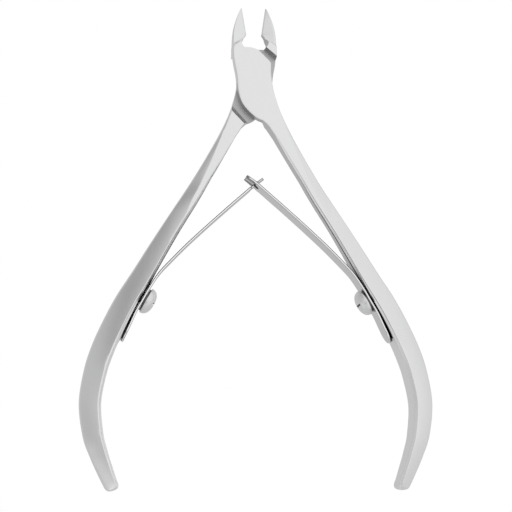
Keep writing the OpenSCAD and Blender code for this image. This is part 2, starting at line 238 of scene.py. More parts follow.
# ------------------------------------------------------------------ mesh tools
def new_mesh(name, verts, faces, materials=(), slots=None):
    """A mesh with its normals outward. One with material slots is also welded."""
    me = bpy.data.meshes.new(name)
    me.from_pydata(verts, [], faces)
    for material in materials:
        me.materials.append(material)
    if slots:
        me.polygons.foreach_set("material_index", slots)
    bm = bmesh.new()
    bm.from_mesh(me)
    if slots:
        bmesh.ops.remove_doubles(bm, verts=bm.verts, dist=2e-7)
    bmesh.ops.recalc_face_normals(bm, faces=bm.faces)
    bm.to_mesh(me)
    bm.free()
    return me


def add(name, me, matrix=None):
    o = bpy.data.objects.new(name, me)
    bpy.context.scene.collection.objects.link(o)
    if matrix:
        me.transform(matrix)
    return o


def lathe(name, profile, segs=96):
    """Turns a profile of (radius, height) about Z."""
    verts, faces, rings = [], [], []
    for radius, height in profile:
        count = 1 if radius < 1e-6 else segs
        rings.append(list(range(len(verts), len(verts) + count)))
        if count == 1:
            verts.append((0, 0, height * MM))
            continue
        for i in range(segs):
            angle = 2 * math.pi * i / segs
            verts.append((radius * MM * math.cos(angle), radius * MM * math.sin(angle),
                          height * MM))
    for a, b in zip(rings, rings[1:]):
        for i in range(segs):
            k = (i + 1) % segs
            if len(a) == 1:
                faces.append((a[0], b[k], b[i]))
            elif len(b) == 1:
                faces.append((a[i], a[k], b[0]))
            else:
                faces.append((a[i], a[k], b[k], b[i]))
    return new_mesh(name, verts, faces)


def box_mesh(name, low, high):
    bm = bmesh.new()
    corners = [bm.verts.new((x * MM, y * MM, z * MM))
               for x in (low[0], high[0]) for y in (low[1], high[1]) for z in (low[2], high[2])]
    for face in [(0, 1, 3, 2), (4, 6, 7, 5), (0, 4, 5, 1),
                 (2, 3, 7, 6), (0, 2, 6, 4), (1, 5, 7, 3)]:
        bm.faces.new([corners[i] for i in face])
    bmesh.ops.recalc_face_normals(bm, faces=bm.faces)
    me = bpy.data.meshes.new(name)
    bm.to_mesh(me)
    bm.free()
    return me


def apply_modifiers(o):
    bpy.context.view_layer.update()
    graph = bpy.context.evaluated_depsgraph_get()
    me = bpy.data.meshes.new_from_object(o.evaluated_get(graph))
    o.modifiers.clear()
    old = o.data
    o.data = me
    bpy.data.meshes.remove(old)


def cut(o, *tools):
    """Takes the tools out of o and removes them."""
    for tool in tools:
        m = o.modifiers.new("cut", "BOOLEAN")
        m.operation = "DIFFERENCE"
        m.solver = "EXACT"
        m.object = tool
    apply_modifiers(o)
    bm = bmesh.new()
    bm.from_mesh(o.data)
    bmesh.ops.dissolve_degenerate(bm, dist=5e-7, edges=bm.edges[:])
    bm.to_mesh(o.data)
    bm.free()
    for tool in tools:
        me = tool.data
        bpy.data.objects.remove(tool)
        bpy.data.meshes.remove(me)


def shade(o):
    """Smooth shading with sharp creases and weighted normals."""
    me = o.data
    me.polygons.foreach_set("use_smooth", [True] * len(me.polygons))
    me.set_sharp_from_angle(angle=math.radians(32))
    m = o.modifiers.new("normals", "WEIGHTED_NORMAL")
    m.keep_sharp = True
    m.weight = 60
    m.mode = "FACE_AREA_WITH_ANGLE"


def screw_frame():
    """Puts Z on the front screw's axis, pointing out of the handle, and keeps Y."""
    y = Vector((0, 1, 0))
    axes = Matrix((y.cross(SCREW_OUT), y, SCREW_OUT))
    return Matrix.Translation(SCREW_AT) @ axes.transposed().to_4x4()


def screw_hole(radius, bottom, top):
    profile = [(0, bottom), (radius, bottom), (radius, top), (0, top)]
    return add("hole", lathe("hole", profile, 48), screw_frame())


# ------------------------------------------------------------------ lever tables
# One row is a cut across the lever, from its left wall to its right wall.
# BEVEL_*: the left edge's bevel; FLAT_END: share of the width where the flat ends and the
# slope starts; ROUND_*: the right edge's round, its width and the depth where it starts;
# RIM_DEPTH: depth at the right wall; CROWN: crown of the slope;
# BACK: 1 where the back half is there and 0 where it is cut to the lap.
(LEFT_X, LEFT_Z, RIGHT_X, RIGHT_Z, HALF_DEPTH, BEVEL_WIDTH, BEVEL_DROP, FLAT_END,
 ROUND_WIDTH, ROUND_DEPTH, RIM_DEPTH, CROWN, BACK) = range(13)
LEFT, RIGHT = [LEFT_X, LEFT_Z], [RIGHT_X, RIGHT_Z]


def row(left_x, left_z, right_x, right_z, half_depth, bevel_width, bevel_drop, flat_end,
        round_width, round_depth=None, rim_depth=None, crown=0.0, back=1.0):
    round_depth = half_depth if round_depth is None else round_depth
    rim_depth = round_depth - round_width if rim_depth is None else rim_depth
    return [left_x, left_z, right_x, right_z, half_depth, bevel_width, bevel_drop, flat_end,
            round_width, round_depth, rim_depth, crown, back]


def blade_row(left_x, z, half_depth, bevel_width, bevel_drop, round_depth, round_width):
    """A level cut through the blade, which ends on the cutting edge."""
    return row(left_x, z, edge_x(z), z, half_depth, bevel_width, bevel_drop, 0.08,
               round_width, round_depth, rim_depth=0.06)


def lap_row(left_x, left_z, right_x, right_z, round_width,
            flat_end=0.93, bevel_width=0.16, bevel_drop=0.20):
    """A cut through the lap, where the back half is away."""
    return row(left_x, left_z, right_x, right_z, HALF, bevel_width, bevel_drop, flat_end,
               round_width, back=0)


# left x, z, half depth, bevel width and drop, round depth and width
BLADE = [blade_row(*station) for station in [
    (-2.72, 16.10, 0.32, 0.03, 0.04, 0.24, 0.05),
    (-2.94, 15.70, 0.38, 0.05, 0.06, 0.27, 0.10),
    (-3.28, 14.98, 0.47, 0.06, 0.07, 0.32, 0.16),
    (-3.80, 13.60, 0.65, 0.07, 0.09, 0.43, 0.20),
    (-4.25, 12.10, 0.84, 0.09, 0.11, 0.55, 0.22),
    (-4.53, 10.65, 1.03, 0.10, 0.13, 0.68, 0.22),
]] + [
    row(-4.63, 9.55, edge_x(10.20) - 0.03, 10.20, 1.17, 0.12, 0.15, 0.08, 0.20, 0.78, 0.42),
    row(-4.68, 8.74, -1.98, 9.74, 1.27, 0.13, 0.17, 0.08, 0.20, 0.88, 0.60),
    row(-4.71, 7.97, -2.19, 9.44, 1.35, 0.15, 0.20, 0.08, 0.20, 1.00, 0.76),
]
# In the next tables the columns are those of row().
# The rise from the blade to the joint's thickness
CREST = [BLADE[-1]] + [row(*station) for station in [
    (-4.71, 7.87, -2.24, 9.34, 1.39, 0.15, 0.20, 0.30, 0.20, 1.04, 0.80),
    (-4.71, 7.64, -2.35, 9.12, 1.64, 0.15, 0.20, 0.50, 0.20, 1.30, 1.06),
    (-4.71, 7.40, -2.46, 8.93, 1.90, 0.15, 0.20, 0.65, 0.20, 1.62, 1.38),
    (-4.71, 7.26, -2.53, 8.84, 2.04, 0.16, 0.21, 0.75, 0.20, 1.82, 1.60),
]]
BASE = [CREST[-1]] + [row(*station) for station in [
    (-4.71, 7.06, -2.63, 8.72, 2.075, 0.16, 0.22, 0.80, 0.18, 1.92, 1.72),
    (-4.71, 6.72, -2.79, 8.46, 2.09, 0.16, 0.22, 0.85, 0.16, 2.02, 1.84),
    (-4.72, 6.28, -2.88, 8.08, HALF, 0.16, 0.21, 0.90, 0.13, 2.08, 1.94),
    (-4.73, 5.82, -2.80, 7.70, HALF, 0.16, 0.20, 0.92, 0.10, HALF, 2.00),
    (-4.74, 5.42, -2.62, 7.38, HALF, 0.16, 0.20, 0.93, 0.09),
]]
UPPER_WALL_TOP = row(-4.74, 5.18, -2.42, 7.14, HALF, 0.16, 0.20, 0.93, 0.09)
# left x, z, right x, z, round width, then the flat's end, bevel width and drop
LAP = [lap_row(*station) for station in [
    (-4.71, 4.78, -2.18, 7.00, 0.09),
    (-4.69, 4.52, -1.75, 7.02, 0.08),
    (-4.66, 4.30, -1.12, 7.00, 0.08),
    (-4.63, 4.08, -0.38, 6.86, 0.07),
    (-4.60, 3.84, 0.28, 6.62, 0.06),
    (-4.57, 3.62, 0.74, 6.38, 0.06),
    (-4.53, 3.40, 1.14, 6.02, 0.06),
    (-4.46, 3.00, 1.92, 5.24, 0.06),
    (-4.37, 2.55, 2.70, 4.46, 0.06),
    (-4.30, 2.20, 3.15, 4.00, 0.07),
    (-4.24, 1.88, 3.36, 3.64, 0.10),
    (-4.17, 1.50, 3.43, 3.12, 0.18, 0.92),
    (-4.04, 0.65, 3.42, 1.85, 0.25, 0.92),
    (-3.93, -0.50, 3.52, 0.35, 0.25, 0.92),
    (-3.84, -1.75, 3.70, -1.10, 0.25, 0.92, 0.12, 0.14),
    (-3.64, -3.00, 3.88, -2.15, 0.25, 0.92, 0.10, 0.10),
    (-3.34, -4.15, 4.06, -2.95, 0.25, 0.92, 0.07, 0.07),
    (-2.96, -5.10, 4.20, -3.50, 0.25, 0.92, 0.06, 0.06),
    (-2.46, -5.92, 4.32, -3.95, 0.25, 0.92, 0.06, 0.06),
    (-1.82, -6.70, 4.44, -4.33, 0.25, 0.92, 0.06, 0.06),
    (-1.08, -7.45, 4.54, -4.66, 0.25, 0.92, 0.06, 0.06),
    (-0.28, -8.15, 4.63, -4.96, 0.25, 0.92, 0.06, 0.06),
    (0.56, -8.70, 4.71, -5.24, 0.25, 0.92, 0.06, 0.06),
    (1.62, -9.12, 4.79, -5.52, 0.25, 0.92, 0.06, 0.06),
]]
# columns of row()
SHOULDER = [row(*station) for station in [
    (2.56, -9.94, 5.36, -7.04, HALF, 0.06, 0.06, 0.92, 0.30),
    (2.86, -10.32, 5.62, -7.66, HALF, 0.07, 0.07, 0.92, 0.30, HALF - 0.01, HALF - 0.36),
    (3.24, -10.90, 6.06, -8.62, HALF, 0.08, 0.08, 0.91, 0.30, HALF - 0.02, HALF - 0.46),
    (3.74, -11.66, 6.60, -9.78, HALF - 0.01, 0.09, 0.09, 0.90, 0.30, HALF - 0.04, HALF - 0.58),
]]
# outer x, outer z, thickness across, half depth, bevel, flat's end,
# round depth, rim depth, round width, crown
HANDLE = [
    [7.22, -11.00, 3.30, HALF - 0.04, 0.12, 0.88, HALF - 0.10, HALF - 0.70, 0.30, 0.00],
    [8.05, -12.58, 3.26, HALF - 0.10, 0.22, 0.83, HALF - 0.24, HALF - 0.90, 0.32, 0.00],
    [9.46, -15.10, 3.25, HALF - 0.18, 0.32, 0.71, HALF - 0.46, HALF - 1.10, 0.34, 0.01],
    [10.97, -17.74, 3.26, HALF - 0.25, 0.40, 0.58, HALF - 0.66, HALF - 1.30, 0.35, 0.02],
    [12.55, -20.35, 3.30, HALF - 0.30, 0.44, 0.48, HALF - 0.86, 0.50, 0.36, 0.03],
    [14.13, -22.90, 3.46, NECK + 0.03, 0.46, 0.41, 0.90, 0.42, 0.37, 0.04],
    [15.82, -25.50, 3.60, NECK, 0.48, 0.35, 0.84, 0.38, 0.38, 0.05],
    [17.61, -28.20, 3.70, NECK, 0.50, 0.19, 0.80, 0.36, 0.38, 0.06],
    [19.78, -31.50, 3.85, NECK + 0.07, 0.52, 0.165, 0.78, 0.34, 0.39, 0.07],
    [23.11, -36.66, 4.18, lerp(NECK, GRIP, 0.19), 0.54, 0.155, 0.84, 0.33, 0.40, 0.08],
    [26.35, -41.82, 4.48, lerp(NECK, GRIP, 0.36), 0.55, 0.15, 0.92, 0.33, 0.41, 0.10],
    [29.69, -46.98, 4.72, lerp(NECK, GRIP, 0.55), 0.56, 0.145, 1.02, 0.33, 0.42, 0.12],
    [32.42, -52.14, 4.82, lerp(NECK, GRIP, 0.75), 0.57, 0.145, 1.14, 0.33, 0.43, 0.14],
    [34.73, -57.30, 4.80, lerp(NECK, GRIP, 0.91), 0.58, 0.145, 1.24, 0.34, 0.44, 0.15],
    [36.35, -62.46, 4.68, GRIP - 0.02, 0.58, 0.15, 1.32, 0.34, 0.45, 0.15],
    [37.37, -69.34, 4.46, GRIP - 0.004, 0.58, 0.155, 1.36, 0.34, 0.45, 0.15],
    [36.58, -76.22, 4.15, GRIP - 0.01, 0.58, 0.16, 1.40, 0.35, 0.45, 0.14],
    [35.03, -80.60, 3.66, GRIP - 0.05, 0.57, 0.17, 1.48, 0.36, 0.45, 0.12],
    [33.52, -83.95, 3.22, GRIP - 0.13, 0.56, 0.18, 1.58, 0.40, 0.44, 0.10],
    [32.20, -86.62, 2.82, GRIP - 0.32, 0.54, 0.20, 1.66, 0.46, 0.42, 0.08],
]
# lap walls: (share of the way from top to foot, BACK there)
CRISP_WALL = [
    (0.03, 0.995), (0.08, 0.975), (0.14, 0.93), (0.35, 0.70), (0.6, 0.42),
    (0.80, 0.19), (0.88, 0.105), (0.94, 0.045), (0.985, 0.010),
]
ROUND_WALL = [
    (0.06, 0.992), (0.13, 0.965), (0.20, 0.915), (0.28, 0.84), (0.42, 0.68),
    (0.58, 0.49), (0.74, 0.30), (0.86, 0.15), (0.94, 0.06), (0.985, 0.014),
]
# crown of the left wall under the spring: (distance below the rivet, height)
WALL_CROWN = [
    (42.0, 0.00), (43.0, 0.05), (44.0, 0.12), (45.0, 0.10), (46.0, 0.10),
    (47.0, 0.17), (48.0, 0.18), (49.0, 0.16), (50.0, 0.155), (51.0, 0.19),
    (52.0, 0.25), (53.0, 0.295), (55.7, 0.295), (56.8, 0.00),
]
END_ANGLES = [9, 18, 27, 36, 45, 54, 62, 69, 75, 80, 84, 87]


# ------------------------------------------------------------------ lever
def handle_rows():
    """Cuts square to the handle's outer line."""
    line = spline(HANDLE, 7)
    out = []
    for i, station in enumerate(line):
        before, after = line[max(i - 1, 0)], line[min(i + 1, len(line) - 1)]
        tangent = np.array([after[0] - before[0], after[1] - before[1]])
        tangent /= np.linalg.norm(tangent)
        (thickness, half_depth, bevel, flat_end,
         round_depth, rim_depth, round_width, crown) = station[2:]
        outer = station[:2]
        inner = outer + np.array([tangent[1], -tangent[0]]) * thickness
        out.append(row(inner[0], inner[1], outer[0], outer[1], half_depth, bevel, bevel,
                       flat_end, round_width, round_depth, rim_depth, crown))
    return np.array(out)


def end_rows(last):
    """Rounds off the handle beyond its last row."""
    left, right = last[LEFT], last[RIGHT]
    middle, radius = (left + right) / 2, np.linalg.norm(right - left) / 2
    across = (right - left) / np.linalg.norm(right - left)
    along = np.array([across[1], -across[0]])
    out = []
    for angle in np.radians(END_ANGLES):
        shrink = math.cos(angle) ** 0.62
        half_width = radius * shrink
        center = middle + along * radius * 1.12 * math.sin(angle) ** 0.85
        skew = along * 0.20 * half_width * math.sin(angle)
        half_depth = last[HALF_DEPTH] - 1.30 * (1 - shrink)
        k = max(shrink, 0.08)
        new = last.copy()
        new[LEFT] = center - across * half_width + skew
        new[RIGHT] = center + across * half_width - skew
        new[HALF_DEPTH] = half_depth
        new[BEVEL_WIDTH] = last[BEVEL_WIDTH] * k
        new[BEVEL_DROP] = last[BEVEL_DROP] * (1.3 - 0.3 * k)
        new[ROUND_WIDTH] = last[ROUND_WIDTH] * k
        new[ROUND_DEPTH] = lerp(half_depth - 0.35, last[ROUND_DEPTH], k)
        new[RIM_DEPTH] = lerp(half_depth - 0.60, last[RIM_DEPTH], k)
        new[CROWN] = last[CROWN] * k
        out.append(new)
    return np.array(out)


def wall_rows(top, foot, shape):
    """Rows down a lap wall, which has a broken top edge and a small fillet at its foot."""
    out = []
    for share, back in shape:
        new = lerp(np.array(top), np.array(foot), share)
        new[BACK] = back
        out.append(new)
    return np.array(out)


def lever_rows():
    handle = handle_rows()
    return np.vstack([
        spline(BLADE, 8)[:-1],
        spline(CREST, 2)[:-1],
        spline(BASE, 4)[:-1],
        spline([BASE[-1], UPPER_WALL_TOP], 2),
        wall_rows(UPPER_WALL_TOP, LAP[0], CRISP_WALL),
        spline(LAP, 4),
        wall_rows(SHOULDER[0], LAP[-1], ROUND_WALL)[::-1],
        spline(SHOULDER + [list(handle[0])], 6)[:-1],
        handle,
        end_rows(handle[-1]),
    ])


SLOPE_STEPS, ROUND_STEPS = 9, 7


def side_profile(r):
    """(share across, depth) of one face of a cut, from its left wall to its right wall."""
    width = math.hypot(r[RIGHT_X] - r[LEFT_X], r[RIGHT_Z] - r[LEFT_Z])
    bevel = min(r[BEVEL_WIDTH], 0.3 * width)
    drop = r[BEVEL_DROP] * bevel / r[BEVEL_WIDTH]
    round_width = min(r[ROUND_WIDTH], 0.35 * width)
    depth, round_depth, rim = r[HALF_DEPTH], r[ROUND_DEPTH], r[RIM_DEPTH]
    round_start = width - round_width
    flat = min(max(r[FLAT_END] * width, bevel + 0.05 * width), round_start - 0.03 * width)

    # left edge: a flat bevel with a small round at each of its borders; on the handle's
    # wide bevel the round at the wall is wider than the one at the face
    reach = min(0.22 * bevel, 0.05)
    grow = float(smooth((bevel - 0.32) / 0.14))
    wall_reach, face_reach = reach + 0.11 * grow, reach + 0.03 * grow
    slant = math.hypot(bevel, drop)
    along_x, along_depth = bevel / slant, drop / slant
    flat_start = bevel + min(face_reach, 0.02 * width)
    pts = [bend((0, depth - drop - wall_reach), (0, depth - drop),
                (wall_reach * along_x, depth - drop + wall_reach * along_depth), t)
           for t in (0, 0.5, 1)]
    pts += [bend((bevel - face_reach * along_x, depth - face_reach * along_depth),
                 (bevel, depth), (flat_start, depth), t)
            for t in (0, 0.5)]
    pts += [(lerp(flat_start, flat, t), depth) for t in (0, 0.1, 0.5, 0.9)]
    pts.append((flat, depth))
    for i in range(1, SLOPE_STEPS):
        t = i / SLOPE_STEPS
        pts.append((lerp(flat, round_start, t),
                    lerp(depth, round_depth, t) + r[CROWN] * 4 * t * (1 - t)))

    # right edge: rounds over from the slope to the wall; a blade has a plain bevel
    slope = (depth - round_depth) / (round_start - flat)
    soft = min(max((rim - 0.06) / 0.3, 0), 1)
    corner = min(max(round_depth - slope * round_width, rim + 0.02), round_depth)
    control = (lerp(width - round_width / 2, width, soft),
               lerp((round_depth + rim) / 2, corner, soft))
    for i in range(ROUND_STEPS + 1):
        pts.append(bend((round_start, round_depth), control, (width, rim), i / ROUND_STEPS))
    return [(x / width, d) for x, d in pts]


LEVER_MATERIALS = [forged, lap_grinding_and_shade, black_shade, shaded_inner_wall, shaded_wall_round_line, polished_highlight, shaded_face_round_line]
FORGED, LAP_GRINDING_AND_SHADE, UNDER_SPRING_SHADE, INNER_WALL_SHADE, WALL_ROUND_SHADE, BEVEL, FACE_ROUND_SHADE = range(7)
# by the place of a strip of faces, counted from the left wall
# on the handles the inner bevel's flat gets a painted highlight, and the rounds on either side of
# it get painted shade lines
BEVEL_SLOTS = {0: WALL_ROUND_SHADE, 1: WALL_ROUND_SHADE, 2: BEVEL, 3: FACE_ROUND_SHADE, 4: FACE_ROUND_SHADE}


def lever_slot(i, here, after, count):
    """Material slot of face i between two cuts; the front and back have count points."""
    half = count // 2
    on_left_wall = i >= count - 1
    strip = min(i, count - 2 - i)
    if not on_left_wall and strip in BEVEL_SLOTS and here[LEFT_Z] < -12.6:
        return BEVEL_SLOTS[strip]
    lapped = here[BACK] < 1 and after[BACK] < 1
    lower_wall = max(here[BACK], after[BACK]) > 0.02 and here[LEFT_Z] < -8
    heel = i == half - 1 and here[RIGHT_Z] < 10.2 and here[LEFT_Z] > 5.2
    on_lap = half <= i < count - 1 or on_left_wall and here[BEVEL_DROP] < 0.2
    # the lap floors and the heel's round get the grinding finish with its painted shade
    if heel or lapped and not lower_wall and on_lap:
        return LAP_GRINDING_AND_SHADE
    # the handle's inner wall: painted black shade where the spring's tail lies over it, painted
    # grey shade elsewhere
    if on_left_wall and here[LEFT_Z] < -9.1:
        return UNDER_SPRING_SHADE if -55.4 < here[LEFT_Z] < -47.2 else INNER_WALL_SHADE
    return FORGED


def lever_ring(r):
    """Points round a cut: front, back, then four up the left wall; and the first two's count."""
    left, right = r[LEFT], r[RIGHT]
    profile = side_profile(r)
    front = [(lerp(left, right, s), -d) for s, d in profile]
    back = [(lerp(left, right, s), lerp(-LAP_GAP, d, r[BACK])) for s, d in profile]
    ring = [(p[0], y, p[1]) for p, y in front + back[::-1]]
    count = len(ring)
    height = np.interp(-r[LEFT_Z], *zip(*WALL_CROWN))
    crown = height * (left - right) / np.linalg.norm(left - right)
    for t in (0.2, 0.4, 0.6, 0.8):
        p = left + crown * 4 * t * (1 - t)
        ring.append((p[0], lerp(back[0][1], front[0][1], t), p[1]))
    return ring, count


def lever_mesh(name):
    rows = lever_rows()
    verts, faces, slots = [], [], []
    for r in rows:
        ring, count = lever_ring(r)
        verts += [tuple(c * MM for c in p) for p in ring]
    size = len(ring)
    for a in range(len(rows) - 1):
        for i in range(size):
            k = (i + 1) % size
            faces.append((a * size + i, a * size + k, (a + 1) * size + k, (a + 1) * size + i))
            slots.append(lever_slot(i, rows[a], rows[a + 1], count))
    # the ends are closed with strips from front to back
    for end in (0, len(rows) - 1):
        first = end * size
        for i in range(count // 2 - 1):
            wall = tuple(range(first + size - 1, first + count - 1, -1)) if i == 0 else ()
            face = (first + i,) + wall + (first + count - 1 - i, first + count - 2 - i,
                                          first + i + 1)
            faces.append(face if end == 0 else face[::-1])
            slots.append(FORGED)
    return new_mesh(name, verts, faces, LEVER_MATERIALS, slots)


def build_lever(name, rear):
    o = add(name, lever_mesh(name))
    hole = screw_hole(SHANK_R, -3.3, 1.0)
    if rear:
        o.data.transform(TURN)
        hole.data.transform(TURN)
        radius = RIVET_R + BORE_PLAY
        profile = [(0, -1), (radius, -1), (radius, HALF - RIVET_SINK - BORE_PLAY),
                   (2.25, HALF + 0.02), (2.3, HALF + 0.6), (0, HALF + 0.6)]
    else:
        profile = [(0, -1.5), (RIVET_R, -1.5), (RIVET_R, 0.6), (0, 0.6)]
    cut(o, hole, add("bore", lathe("bore", profile), Z_TO_Y))
    return o


# ------------------------------------------------------------------ leaf springs
# x, z down the middle of the strip, from its foot on the handle to its tip
SPRING_LINE = [
    [28.50, -56.45], [27.00, -53.30], [25.65, -50.35], [24.20, -47.81], [22.64, -45.09],
    [20.60, -42.08], [18.08, -39.36], [14.80, -36.04], [10.76, -32.26], [6.42, -28.34],
    [3.10, -25.42], [0, -22.72], [-2.06, -21.12],
]
CROSSING = 11       # the point where the two springs cross
LINE_STEPS = 24
HALF_W = SPRING_W / 2
FOOT_STEPS = [0, 0.02, 0.08, 0.18, 0.32, 0.5, 0.75, 1.05, 1.45, 1.9, HALF_W]
TONGUE_END = 2.2    # past the crossing


def spring_path():
    """Arc length from the crossing, middle line, and normals away from the handle."""
    line = spline(SPRING_LINE, LINE_STEPS)
    lengths = np.linalg.norm(np.diff(line, axis=0), axis=1)
    s = np.concatenate([[0], np.cumsum(lengths)])
    tangent = np.gradient(line, axis=0)
    tangent /= np.linalg.norm(tangent, axis=1)[:, None]
    normal = np.stack([-tangent[:, 1], tangent[:, 0]], 1)
    return s - s[LINE_STEPS * CROSSING], line, normal


# An outline is a list of (arc length, outer half width, inner half width); the inner
# half width is 0 where the strip isn't split.
def body_outline(start, last, last_gap):
    """The foot's round end and the full width up to last."""
    places = np.concatenate([start + np.array(FOOT_STEPS),
                             np.arange(start + HALF_W + 0.4, last - last_gap, 0.4), [last]])
    out = []
    for v in places:
        d = v - start
        w = HALF_W if d >= HALF_W else math.sqrt(max(HALF_W ** 2 - (HALF_W - d) ** 2, 0.0))
        out.append((v, max(w, 0.12), 0.0))
    return out


def fork_outline(start, end):
    """Two prongs, apart by a slot with a round bottom."""
    slot, deep, corner, taper = 0.9, -0.2, 0.65, 0.40
    out = body_outline(start, deep - slot, 0.2)
    for a in np.radians([8, 18, 30, 42, 54, 66, 78, 90]):
        out.append((deep - slot * math.cos(a), HALF_W, slot * math.sin(a)))
    for v in np.arange(deep + 0.3, end - corner - 0.05, 0.3):
        out.append((v, HALF_W - taper * smooth((v - deep) / (end - deep)), slot))
    for a in np.radians([0, 15, 30, 45, 60, 75, 86]):
        fall = 1 - math.cos(a)
        out.append((end - corner + corner * math.sin(a),
                    HALF_W - taper - corner * 0.6 * fall, slot + corner * 0.4 * fall))
    return out


def tongue_outline(start, end):
    """A narrow tongue beyond rounded shoulders."""
    tongue, neck, shoulder, fillet = 0.7, -1.3, 0.9, 0.25
    out = body_outline(start, neck - shoulder, 0.1)
    for a in np.radians([15, 35, 55, 75, 88]):
        out.append((neck - shoulder + shoulder * math.sin(a),
                    HALF_W - shoulder * (1 - math.cos(a)), 0.0))
    for a in np.radians([0, 30, 60, 90]):
        out.append((neck + 0.01 + fillet * math.sin(a),
                    tongue + fillet * (1 - math.sin(a)), 0.0))
    for v in np.arange(neck + 0.5, end - tongue - 0.05, 0.3):
        out.append((v, tongue, 0.0))
    for a in np.radians([0, 15, 30, 45, 60, 72, 82]):
        out.append((end - tongue + tongue * math.sin(a), tongue * math.cos(a), 0.0))
    return out


def spring_section(outer, inner):
    """Seven (y, edge drop) across each half of the strip, the -y half first."""
    e = SPRING_EDGE
    reach = min(e, (outer - inner) * 0.4)
    if inner == 0.0:
        middle = [(0.0, 0), (0.15 * outer, 0), (0.3 * outer, 0), (0.6 * outer, 0)]
    else:
        middle = [(inner, e), (inner + reach * 0.3, e * 0.3), (inner + reach, 0),
                  (lerp(inner, outer, 0.5), 0)]
    half = middle + [(outer - reach, 0), (outer - reach * 0.3, e * 0.3), (outer, e)]
    return [(-y, drop) for y, drop in half[::-1]], half


SPRING_MATERIALS = [spring_steel, black_shade, darker_tips_rim_shade, polished_highlight, shaded_spring_underside, shaded_spring_rim]
SPRING, SLOT_SHADE, DARK_TIP_RIM_SHADE, EDGE_HIGHLIGHT, UNDERSIDE_SHADE, SPRING_RIM_SHADE = range(6)


def outer_side_slot(v, fork, end):
    """The narrow side: a painted highlight on the polish; on the fork darker at the prongs' ends;
    on the tongue painted black shade at its root, where it passes the slot, and plain at its end.
    """
    if fork:
        return DARK_TIP_RIM_SHADE if v > end - 0.9 else EDGE_HIGHLIGHT
    if v < -0.75:
        return EDGE_HIGHLIGHT
    return SLOT_SHADE if v < 0.35 else SPRING


def spring_mesh(name, fork):
    s, line, normal = spring_path()
    end = s[-1] if fork else TONGUE_END
    outline = fork_outline(s[0], end) if fork else tongue_outline(s[0], end)
    half_t = SPRING_T / 2
    verts, faces, slots = [], [], []

    def add_face(face, slot):
        faces.append(face)
        slots.append(slot)

    # per cut and half: indices on the face away from the handle and on the one toward it
    cuts = []
    for v, outer, inner in outline:
        p = np.array([np.interp(v, s, line[:, 0]), np.interp(v, s, line[:, 1])])
        q = np.array([np.interp(v, s, normal[:, 0]), np.interp(v, s, normal[:, 1])])
        q /= np.linalg.norm(q)
        halves = []
        for points in spring_section(outer, inner):
            first = len(verts)
            for y, drop in points:
                for x, z in (p + q * (half_t - drop), p - q * (half_t - 1.5 * drop)):
                    verts.append((x * MM, y * MM, z * MM))
            halves.append((range(first, first + 14, 2), range(first + 1, first + 14, 2)))
        cuts.append(halves)

    for k in range(len(cuts) - 1):
        v = outline[k][0]
        tip = v > (0.25 if fork else 0.9)
        split = outline[k][2] > 0 or outline[k + 1][2] > 0
        for c in (0, 1):
            (u0, d0), (u1, d1) = cuts[k][c], cuts[k + 1][c]
            for i in range(6):
                rim = i in ((0, 1), (4, 5))[c]
                # darker at the tips; on the tongue, painted shade along the rims of this face
                add_face((u0[i], u0[i + 1], u1[i + 1], u1[i]),
                         DARK_TIP_RIM_SHADE if tip or rim and not fork else SPRING)
                # painted shade on the face toward the handle and on its rims; darker at the tips
                add_face((d0[i], d1[i], d1[i + 1], d0[i + 1]),
                         DARK_TIP_RIM_SHADE if tip else SPRING_RIM_SHADE if rim else UNDERSIDE_SHADE)
            for i in (0, 6):
                outside = i == 6 * c
                if not (outside or split):
                    continue
                if outside:
                    # the slot's walls near its round bottom get painted black shade
                    slot = outer_side_slot(v, fork, end)
                else:
                    slot = SLOT_SHADE if v < 0.25 else SPRING
                if i == 0:
                    add_face((u0[i], u1[i], d1[i], d0[i]), slot)
                else:
                    add_face((u0[i], d0[i], d1[i], u1[i]), slot)
    for halves in (cuts[0], cuts[-1]):
        for u, d in halves:
            for i in range(6):
                add_face((u[i], d[i], d[i + 1], u[i + 1]), SPRING)
    return new_mesh(name, verts, faces, SPRING_MATERIALS, slots)


def build_spring(name, fork):
    o = add(name, spring_mesh(name, fork))
    cut(o, screw_hole(1.4, -2, 3.0))
    return o


# ------------------------------------------------------------------ screws and rivet
def build_screw(name):
    """A threaded shank, a collar and a domed head with a slot."""
    profile = [(0, -3.0), (0.95, -3.0), (SHANK_R, -2.75)]
    z = -2.70
    while z < -0.45:
        profile += [(SHANK_R, z), (THREAD_ROOT_R, z + 0.11), (THREAD_ROOT_R, z + 0.17),
                    (SHANK_R, z + 0.28)]
        z += THREAD_PITCH
    profile += [
        (SHANK_R, -0.1), (SHANK_R, HEAD_BASE), (COLLAR_R, HEAD_BASE),
        (COLLAR_R, HEAD_BASE + 0.30), (HEAD_R - 0.10, HEAD_BASE + 0.36),
        (HEAD_R - 0.02, HEAD_BASE + 0.43), (HEAD_R, HEAD_BASE + 0.52),
    ]
    for degrees in range(6, 91, 6):
        a = math.radians(degrees)
        profile.append((HEAD_R * math.cos(a) ** 0.82 if degrees < 90 else 0,
                        HEAD_BASE + 0.54 + (HEAD_H - 0.54) * math.sin(a) ** 0.95))
    o = add(name, lathe(name, profile))
    slot = box_mesh("slot", (-SLOT_HALF, -4, HEAD_TOP - SLOT_DEPTH), (SLOT_HALF, 4, HEAD_TOP + 1))
    cut(o, add("slot", slot, Matrix.Rotation(math.radians(SLOT_TURN), 4, "Z")))
    m = o.modifiers.new("break_edges", "BEVEL")
    m.width = 0.06 * MM
    m.segments = 2
    m.limit_method = "ANGLE"
    m.angle_limit = math.radians(40)
    apply_modifiers(o)
    o.data.transform(screw_frame())
    return o


